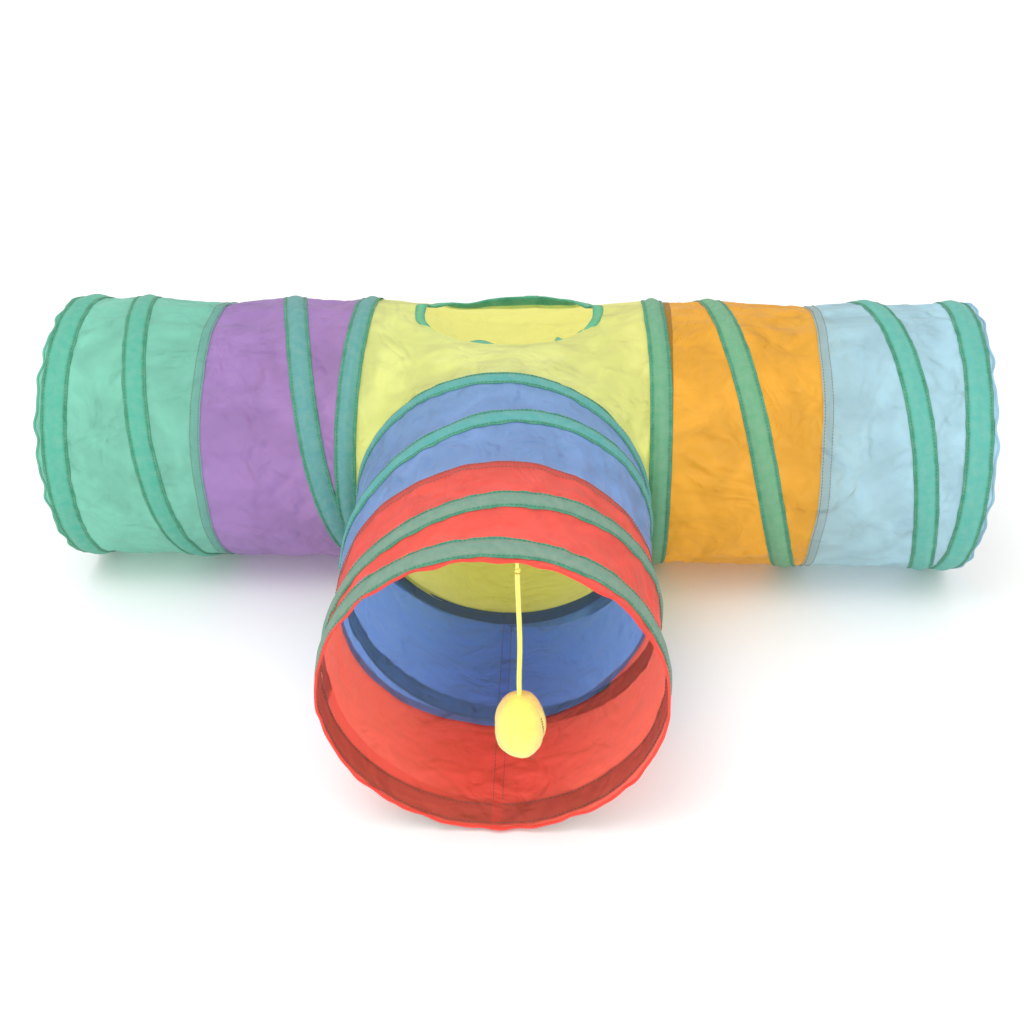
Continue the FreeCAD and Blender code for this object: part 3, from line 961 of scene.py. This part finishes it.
def make_cord_loop(tube, material):
    """The cord's upper end: a tight loop sewn in the front hem, down to the knot."""
    low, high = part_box("toy_hitch")
    knot = np.array((low + high) / 2)
    reach = CENTRE[1] - knot[1]
    angle = 180 - math.degrees((knot[0] - FRONT.lean["sideways"](1.0)) / RADIUS)
    top = tube.at(np.array([reach]), np.array([angle]))[0][2] - knot[2] - 0.3 * MM
    half = 0.6 * MM
    line = [(half * 0.8, top), (half, top * 0.75), (half, top * 0.45), (half, top * 0.15)]
    line += [(half * math.cos(a), -half * math.sin(a)) for a in np.linspace(0.2, math.pi - 0.2, 9)]
    line += [(-half, top * 0.15), (-half, top * 0.45), (-half, top * 0.75), (-half * 0.8, top)]
    points = knot + np.array([(x, 0.15 * x, z) for x, z in line])
    loop = rod("toy_cord_loop", points, 0.7 * MM, material, "front_end", sides=10)
    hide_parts("cord_tack")


def make_thread_end(material):
    """The loose end of the ball's sewing thread."""
    foot = np.array([TOY_X + 4 * MM, TOY_Y - 8 * MM, BALL_LOW.z + 2.5 * MM])
    points = []
    for k in range(22):
        s = k / 21
        points.append(foot + MM * np.array([
            9 * s + 1.5 * math.sin(5 * s), -1.5 * s, -3.2 * math.sin(2.6 * s) + 6.5 * s * s
        ]))
    rod("toy_thread_end", points, 0.22 * MM, material, "toy", sides=6)


def make_ball_seams(material):
    """Short hand stitches where the ball was closed."""
    height = BALL_HIGH.z - BALL_LOW.z
    half = (BALL_HIGH.x - BALL_LOW.x) / 2
    centre = Vector((TOY_X, TOY_Y, BALL_LOW.z + height / 2))
    verts, faces = [], []
    for k in range(9):
        level = 0.36 - 0.085 * k
        wide = math.sqrt(1 - level * level) ** 0.86 * (1 - 0.07 * level)
        for turn in (-0.36,):
            out = Vector((math.cos(turn), math.sin(turn), 0))
            at = centre + out * half * wide * 0.975 + Vector((0, 0, height / 2 * level))
            side = Vector((-out.y, out.x, 0))
            base = len(verts)
            for s in (-1, 1):
                for x, z in ((0.3, 0), (0, 0.3), (-0.3, 0), (0, -0.3)):
                    verts.append(at + side * s * 0.9 * MM + out * x * MM + Vector((0, 0, z * MM)))
            for m in range(4):
                q = (m + 1) % 4
                faces.append([base + m, base + q, base + 4 + q, base + 4 + m])
            faces.append([base + 3, base + 2, base + 1, base])
            faces.append([base + 4, base + 5, base + 6, base + 7])
    new_object("toy_ball_stitches", verts, faces, material, "toy")


# ---------------------------------------------------------------- the crossing


PATCH_ROWS = 72  # from the top of a hoop to its bottom
PATCH_COLUMNS = 15
BINDING = np.array(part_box("peephole_binding")[1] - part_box("peephole_binding")[0])[:2] / 2
HOLE_HALF = BINDING - (14 * MM, 15 * MM)
HOLE_MIDDLE = middle("peephole_binding")[:2] - CENTRE[:2] + (1.5 * MM, 7 * MM)
SQUARENESS = 2.5  # the peephole's outline: 2 would be an ellipse, more is squarer
MARGIN = -4 * MM  # the crossing stops this far short of a hoop, under its tape


def hoop_edge(arm, theta):
    return arm.junction_at(theta) + MARGIN


def crossing_patches():
    """Grids of the T: back half, front left, front right and front tube, about the crossing."""
    half = np.linspace(0, 180, PATCH_ROWS + 1)
    share = np.linspace(0, 1, PATCH_COLUMNS + 1)
    sine, cosine = np.sin(np.radians(half)), np.cos(np.radians(half))

    def grid(along, angle_cos, angle_sin, build):
        return np.array([[build(a, i) for a in along[i]] for i in range(len(along))])

    patches = []
    # Over the back, both sides of x = 0. The hoops are read at the same height on the far side.
    for arm, sign in ((LEFT, -1), (RIGHT, 1)):
        back = (180 - half) if arm is RIGHT else (180 + half)
        edge = hoop_edge(arm, back)
        x = sign * edge[:, None] * share[None, :]
        points = np.stack([x, np.broadcast_to((RADIUS * sine)[:, None], x.shape),
                           np.broadcast_to((RADIUS * cosine)[:, None], x.shape)], -1)
        patches.append(points)
    # Over the front, from each side hoop to the valley along the diagonal.
    for arm, sign in ((LEFT, -1), (RIGHT, 1)):
        front = (180 - half) if arm is LEFT else (180 + half)
        edge = hoop_edge(arm, front)
        valley = RADIUS * sine
        x = sign * (valley[:, None] * (1 - share) + edge[:, None] * share)
        points = np.stack([x, np.broadcast_to((-RADIUS * sine)[:, None], x.shape),
                           np.broadcast_to((RADIUS * cosine)[:, None], x.shape)], -1)
        patches.append(points)
    # The short front tube, left and right of its middle.
    for sign in (-1, 1):
        edge = hoop_edge(FRONT, 180 + sign * half)
        valley = RADIUS * sine
        y = -(valley[:, None] * (1 - share) + edge[:, None] * share)
        points = np.stack([np.broadcast_to((sign * RADIUS * sine)[:, None], y.shape), y,
                           np.broadcast_to((RADIUS * cosine)[:, None], y.shape)], -1)
        patches.append(points)
    return patches


def crossing_mesh():
    """The crossing's fabric as one welded mesh, with soft valleys, before the peephole is cut."""
    mesh = bmesh.new()
    for points in crossing_patches():
        rows, columns = points.shape[:2]
        verts = [mesh.verts.new(tuple(p)) for p in points.reshape(-1, 3)]
        for a, b, c, d in grid_faces(rows, columns):
            mesh.faces.new((verts[a], verts[b], verts[c], verts[d]))
    bmesh.ops.remove_doubles(mesh, verts=mesh.verts[:], dist=0.05 * MM)
    bmesh.ops.recalc_face_normals(mesh, faces=mesh.faces[:])
    rim = {v for e in mesh.edges if e.is_boundary for v in e.verts}
    for _ in range(26):
        moves = {}
        for v in mesh.verts:
            if v not in rim:
                around = [e.other_vert(v).co for e in v.link_edges]
                moves[v] = sum(around, Vector()) / len(around)
        for v, target in moves.items():
            if abs(v.co.x) < 1.25 * RADIUS and v.co.y < 0.3 * RADIUS:
                flatness = min(1.0, max(0.0, (0.3 * RADIUS - v.co.y) / (0.3 * RADIUS)))
                v.co = v.co.lerp(target, 0.6 * flatness)
    points = np.array([v.co for v in mesh.verts]) + CENTRE
    index = {v: i for i, v in enumerate(mesh.verts)}
    faces = [[index[v] for v in f.verts] for f in mesh.faces]
    pins = np.array([1.0 if v in rim else 0.0 for v in mesh.verts])
    mesh.free()
    return points, faces, pins


def hole_edge(angle):
    """The peephole's cut edge from its middle, and the outward direction there, in plan."""
    turn = np.stack([np.cos(angle), np.sin(angle)], -1)
    edge = HOLE_HALF * np.sign(turn) * np.abs(turn) ** (2 / SQUARENESS)
    outward = np.sign(turn) * np.abs(turn) ** (2 - 2 / SQUARENESS) / HOLE_HALF
    return edge, outward / np.linalg.norm(outward, axis=-1, keepdims=True)


def hole_measure(points):
    """How far outside the peephole's cut edge points lie, and at which angle round it."""
    local = (points[:, :2] - CENTRE[:2] - HOLE_MIDDLE) / HOLE_HALF
    size = np.sum(np.abs(local) ** SQUARENESS, axis=1) ** (1 / SQUARENESS)
    turn = np.sign(local) * np.abs(local) ** (SQUARENESS / 2)
    angle = np.arctan2(turn[:, 1], turn[:, 0])
    reach = np.linalg.norm(hole_edge(angle)[0], axis=1)
    return (size - 1) * reach, angle


def rim_lift(distance, angle):
    """The rim stands up along the far side and turns down into the hole along the near side."""
    near = np.clip(-np.sin(angle), 0, 1)
    uneven = 1 + 0.03 * np.cos(7 * angle)
    reach = np.maximum(distance, 0)
    crest = np.degrees(angle) - 84
    crest = np.exp(-((crest / np.where(crest > 0, 27, 34)) ** 2))
    up = (1.0 + 12.5 * crest) * MM * uneven * np.exp(-((reach / (9.5 * MM)) ** 2))
    down = 3.2 * MM * near**0.6 * uneven * np.exp(-((reach / (9 * MM)) ** 2))
    return up * (1 - near**0.6) - down


def clip(points, faces, value):
    """The part of a mesh where value is above zero, cut along the line where it is zero."""
    points = [np.array(p) for p in points]
    cuts = {}
    out = []

    def cross(a, b):
        key = (min(a, b), max(a, b))
        if key not in cuts:
            s = value[a] / (value[a] - value[b])
            cuts[key] = len(points)
            points.append(points[a] * (1 - s) + points[b] * s)
        return cuts[key]

    for face in faces:
        ring = []
        for a, b in zip(face, face[1:] + face[:1]):
            if value[a] >= 0:
                ring.append(a)
            if (value[a] >= 0) != (value[b] >= 0):
                ring.append(cross(a, b))
        if len(ring) >= 3:
            out.append(ring)
    used = sorted({i for face in out for i in face})
    renumber = {old: new for new, old in enumerate(used)}
    return np.array([points[i] for i in used]), [[renumber[i] for i in face] for face in out]


def refine(points, faces, levels=2):
    """The same sheet with smaller, smoother faces."""
    mesh = bpy.data.meshes.new("refining")
    mesh.from_pydata([tuple(p) for p in points], [], faces)
    obj = bpy.data.objects.new("refining", mesh)
    bpy.context.collection.objects.link(obj)
    modifier = obj.modifiers.new("smaller", "SUBSURF")
    modifier.levels = levels
    modifier.boundary_smooth = "PRESERVE_CORNERS"
    done = obj.evaluated_get(bpy.context.evaluated_depsgraph_get())
    fine = np.array([v.co for v in done.data.vertices])
    rings = [list(p.vertices) for p in done.data.polygons]
    bpy.data.objects.remove(obj)
    bpy.data.meshes.remove(mesh)
    return fine, rings


def make_crossing(material):
    points, faces, pins = crossing_mesh()
    points = settle("crossing_settling", points, faces, pins, excess=0.004, frames=12, bend=0.05)
    points, faces = refine(points, faces)
    distance, angle = hole_measure(points)
    roof = points[:, 2] > CENTRE[2] + 0.5 * RADIUS
    lift = np.where(roof & (distance < 40 * MM), rim_lift(distance, angle), 0)
    points[:, 2] += lift
    tree = BVHTree.FromPolygons([Vector(p) for p in points], faces)
    value = np.where(roof, distance, 1.0)
    points, faces = clip(points, faces, value)
    ripple = crumple(points, 5, 0.45 * MM, 14 * MM)
    points[:, 2] = np.maximum(points[:, 2] + ripple, 0.3 * MM)
    panel_piece = new_object("centre_fabric", points, faces, material, "centre")
    write_attribute(panel_piece.data, "cover", crossing_cover(points))
    local = points - CENTRE
    around = np.arctan2(local[:, 1], local[:, 2]) * RADIUS
    write_attribute(panel_piece.data, "cloth", np.stack([local[:, 0], around, 0 * around], -1))
    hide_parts("centre_panel")
    return tree


def crossing_cover(points):
    """1 near the three hoops, where the tape lies on the yellow fabric: the mask of the painted shade under the
    tape.
    """
    local = points - CENTRE
    cover = np.zeros(len(points))
    for arm in ARMS:
        u = local @ arm.out
        theta = np.degrees(np.arctan2(local @ arm.side, local @ DOWN))
        edge = arm.junction_at(theta) - arm.junction_width / 2
        cover = np.maximum(cover, np.clip(0.5 + (u - edge) / (1.2 * MM), 0, 1))
    return cover


def tucked(angle):
    """1 along the near side of the hole, where the bound edge is turned under, 0 elsewhere."""
    turn = math.degrees(angle) % 360
    rise = min(1.0, max(0.0, (turn - 198) / 26))
    fall = min(1.0, max(0.0, (344 - turn) / 30))
    return min(rise, fall) ** 2 * (3 - 2 * min(rise, fall))


def sliver(angle):
    """Where the tucked edge peeps out into the hole."""
    turn = math.degrees(angle) % 360
    return max(math.exp(-(((turn - at) / wide) ** 2)) for at, wide in ((257, 15), (304, 6), (328, 8)))


def make_binding(tree, material):
    """The tape folded over the peephole's cut edge, above and below the fabric."""
    outline = (
        (5.6, -0.6), (2.8, -0.9), (-0.2, -0.9), (-0.9, 0.0), (-0.4, 0.9), (1.2, 1.25), (3.4, 1.1),
        (5.6, 1.0), (7.2, 0.95), (8.3, 0.85), (8.5, 0.5), (7.9, 0.3),
    )
    edges = (1.0, 1.0, 1.0, 1.0, 0.9, 0.5, 0.3, 0.4, 0.8, 1.0, 1.0, 1.0)
    angles = np.linspace(0, 2 * math.pi, 340, endpoint=False)
    rows = []
    for offset, height in outline:
        row = []
        for a in angles:
            lap = 1.5 if 1.32 < a < 1.46 else 0.0
            wide = offset * (1 + 0.05 * math.sin(9 * a) + 0.03 * math.sin(17 * a)) if offset > 3 else offset
            edge, normal_plan = hole_edge(a)
            plan = HOLE_MIDDLE + edge + normal_plan * wide * MM
            start = Vector((*(CENTRE[:2] + plan), CENTRE[2] + 2 * RADIUS))
            spot, normal, _, _ = tree.ray_cast(start, Vector((0, 0, -1)))
            if normal.z < 0:
                normal = -normal
            lift = (height + (lap if height > 0.5 else 0) * 0.5) * MM
            on_top = np.array(spot + normal * lift)
            tuck = tucked(a)
            if tuck > 0:
                edge_plan = HOLE_MIDDLE + edge
                start = Vector((*(CENTRE[:2] + edge_plan + normal_plan * 0.4 * MM), start.z))
                lip = np.array(tree.ray_cast(start, Vector((0, 0, -1)))[0])
                peep = sliver(a)
                depth = max(wide, 0) * MM
                inward = -normal_plan * (0.2 + 0.85 * peep) * depth
                under = lip + (*inward, -0.6 * MM - (1 - 0.93 * peep) * depth + height * 0.3 * MM)
                on_top = on_top * (1 - tuck) + under * tuck
            row.append(on_top)
        rows.append(row)
    points = np.array(rows).transpose(1, 0, 2)
    count, across = points.shape[:2]
    flat = points.reshape(-1, 3)
    faces = grid_faces(count, across)
    last = (count - 1) * across
    faces += [[last + k, last + k + 1, k + 1, k] for k in range(across - 1)]
    ring = new_object("peephole_binding_cloth", flat, faces, material, "centre")
    write_attribute(ring.data, "edge", np.tile(edges, count))
    run = np.repeat(angles * 0.07, across)
    wide = np.tile([o for o, _ in outline], count) * MM
    write_attribute(ring.data, "cloth", np.stack([wide, run, 0 * run], -1))
    write_attribute(ring.data, "under", np.tile(sheer(YELLOW), (len(flat), 1)))
    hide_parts("peephole_binding")


# ---------------------------------------------------------------- the arms


def make_arm(arm, seed, materials):
    name, joint_body = arm.name, f"{arm.name}_end"
    tube = Tube(arm, seed)
    green, sewing, wire = materials["tape"], materials["thread"], materials["steel"]
    inner, outer = materials[f"{name}_inner"], materials[f"{name}_outer"]

    def root(t): return arm.junction_at(t) - 7 * MM
    def first(t): return np.full_like(t, arm.tape_start) - 1 * MM
    def last(t): return np.full_like(t, arm.tape_stop) + 1 * MM
    def mouth(t): return arm.end_at(t)
    def tongue(t): return arm.seam_at(t) + 8.2 * MM

    strip, length = panel(tube, f"{name}_inner_root", root, first, materials[f"{name}_root"], "centre", seed + 10, sink=1.6 * MM)
    piece, length = panel(
        tube, f"{name}_inner_fabric", first, tongue, inner, "centre", seed + 20, squash=True
    )
    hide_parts(f"{name}_inner_panel")
    piece, length = panel(
        tube, f"{name}_outer_fabric", arm.seam_at, last, outer, "centre", seed + 30, squash=True
    )
    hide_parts(f"{name}_outer_panel")
    piece, length = panel(tube, f"{name}_mouth_hem", last, mouth, outer, joint_body, seed + 40)

    turn = np.linspace(0, 360, 420)
    under = upper_colour(arm)
    band = tape(
        tube, f"{name}_junction_tape_cloth", arm.junction_at, arm.junction_width, 1.8 * MM, turn,
        under, green, "centre",
    )
    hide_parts(f"{name}_junction_tape")
    band = tape(
        tube, f"{name}_end_tape_cloth", arm.hoop_at, arm.hoop_width, 1.8 * MM, turn,
        under, green, joint_body, wobble=0.35,
    )
    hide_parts(f"{name}_end_tape")

    points = tube.above(arm.end_at(turn[:-1]), turn[:-1], np.full(len(turn) - 1, 0.2 * MM))
    points[:, 2] = np.maximum(points[:, 2], 1.3 * MM)
    rod(f"{name}_mouth_piping", points, 1.1 * MM, outer, joint_body, closed=True)

    first_angle, last_angle = helix_ends(arm)
    sweep = np.linspace(first_angle, last_angle, 760)
    band = tape(
        tube, f"{name}_helix_tape_cloth", arm.helix_at, arm.helix_width, 1.7 * MM, sweep,
        under, green, "centre", squash=True,
    )
    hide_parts(f"{name}_helix_tape")
    run = float(np.sum(np.hypot(np.diff(arm.helix_at(sweep)), np.radians(np.diff(sweep)) * RADIUS)))

    for place, path, body in (
        ("junction", arm.junction_at, "centre"),
        ("end", arm.hoop_at, joint_body),
    ):
        points = tube.above(path(turn[:-1]), turn[:-1], np.full(len(turn) - 1, 1.2 * MM))
        hoop = rod(f"{name}_{place}_hoop_wire", points, 1.0 * MM, wire, body, closed=True)
        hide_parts(f"{name}_{place}_hoop")
        short = np.linspace(-3.3, 3.3, 12)
        points = tube.above(path(short), short, np.full(12, 1.25 * MM))
        sleeve = rod(
            f"{name}_{place}_hoop_sleeve", points, 1.25 * MM, materials["sleeve"], body
        )
        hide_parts(f"{name}_{place}_ferrule")
    points = tube.above(arm.helix_at(sweep), sweep, np.full(len(sweep), 1.15 * MM))
    spring = rod(f"{name}_helix_spring_wire", points, 0.95 * MM, wire, "centre")
    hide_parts(f"{name}_helix_wire")
    fold(spring, True)

    sew_arm(tube, turn, sweep, sewing, materials, joint_body)
    return tube


def helix_ends(arm):
    """Angles at which the helix tape comes out from under the two hoop tapes."""
    sweep = np.linspace(0, 720, 1441)
    u = arm.helix_at(sweep)
    half = arm.helix_width / 2
    inside = sweep[(u - half > arm.tape_start - 6 * MM) & (u + half < arm.tape_stop + 6 * MM)]
    return inside[0], inside[-1]


def sew_arm(tube, turn, sweep, sewing, materials, joint_body):
    """The stitching along every tape edge and the two rows beside the seam."""
    arm = tube.arm
    inset = 2.0 * MM
    for place, path, width, body in (
        ("junction", arm.junction_at, arm.junction_width, "centre"),
        ("end", arm.hoop_at, arm.hoop_width, joint_body),
    ):
        rows = []
        for side in (-1, 1):
            rows.append((path(turn) + side * (width / 2 - inset), turn, 1.05 * MM))
        stitches(tube, f"{arm.name}_{place}_tape_stitches", rows, sewing, body)
    rows = []
    for reach in (-0.5, 0.5):
        rows.append((arm.hoop_at(turn) + reach * (arm.hoop_width - 2 * inset), turn, -0.35 * MM))
    stitches(tube, f"{arm.name}_end_hem_stitches", rows, materials["seam_thread"], joint_body)
    rows = []
    u = arm.helix_at(sweep)
    slope = np.gradient(u, np.radians(sweep) * RADIUS)
    scale = 1 / np.sqrt(1 + slope**2)
    for side in (-1, 1):
        w = side * (arm.helix_width / 2 - inset)
        rows.append((u + w * scale, sweep - np.degrees(w * slope * scale / RADIUS), 1.05 * MM))
    stitches(tube, f"{arm.name}_helix_tape_stitches", rows, sewing, "centre", squash=True)
    rows = []
    for reach in (1.5 * MM, 8.5 * MM):
        rows.append((arm.seam_at(turn) + reach, turn, 0.75 * MM))
    for angle in (-1.7, 1.7):
        run = np.linspace(arm.tape_start, arm.tape_stop, 160)
        rows.append((run, np.full(160, angle), -0.45 * MM))
    stitches(
        tube, f"{arm.name}_seam_stitches", rows, materials["seam_thread"], "centre", squash=True,
        pitch=3.0 * MM,
    )


# ---------------------------------------------------------------- the whole tunnel


# Used for the root strips, where it is partly the doubled fabric and partly painted shade.
def darker(colour):
    return tuple(0.74 * c for c in colour)


def make_materials():
    return {
        "tape": tape_cloth(),
        "thread": thread("green_thread", (52, 140, 108)),
        "seam_thread": thread("brown_thread", (122, 112, 92)),
        "steel": steel(),
        "sleeve": steel("crimp_sleeve"),
        # The inside colours are painted light for the inside of the tubes, and band tints the painted shade under
        # the tapes.
        "yellow": taffeta("yellow_taffeta", YELLOW, inside=(252, 250, 150)),
        "left_inner": taffeta("purple_taffeta", PURPLE),
        "left_outer": taffeta("mint_taffeta", MINT),
        "right_inner": taffeta("orange_taffeta", ORANGE),
        "right_outer": taffeta("sky_taffeta", SKY),
        "front_inner": taffeta("blue_taffeta", BLUE, inside=(124, 170, 240)),
        "front_outer": taffeta("red_taffeta", RED, inside=(255, 118, 98), band=(1.07, 0.85, 0.85)),
        # Painted shade: the root strips under the junction tape take 0.74 of the panel colour, partly for the
        # doubled fabric, partly as painted shade of the tape and hoop over them.
        "left_root": taffeta("purple_hem_shaded", darker(PURPLE)),
        "right_root": taffeta("orange_hem_shaded", darker(ORANGE)),
        "front_root": taffeta("blue_hem_shaded", darker(BLUE)),
        "cord": plush("neon_cord", NEON, 1600, 0.6),
        "ball": plush("neon_plush", (250, 242, 108), 900, 0.7),
        "toy_thread": thread("dark_thread", (110, 96, 40)),
    }


add_camera()
add_studio()
materials = make_materials()
toy_ball = make_ball(materials["ball"])
make_cord(materials["cord"])
make_knot(materials["cord"])
make_thread_end(materials["toy_thread"])
make_ball_seams(materials["toy_thread"])
tubes = {arm.name: make_arm(arm, order, materials) for order, arm in enumerate(ARMS, start=1)}
make_cord_loop(tubes["front"], materials["cord"])
roof = make_crossing(materials["yellow"])
make_binding(roof, materials["tape"])
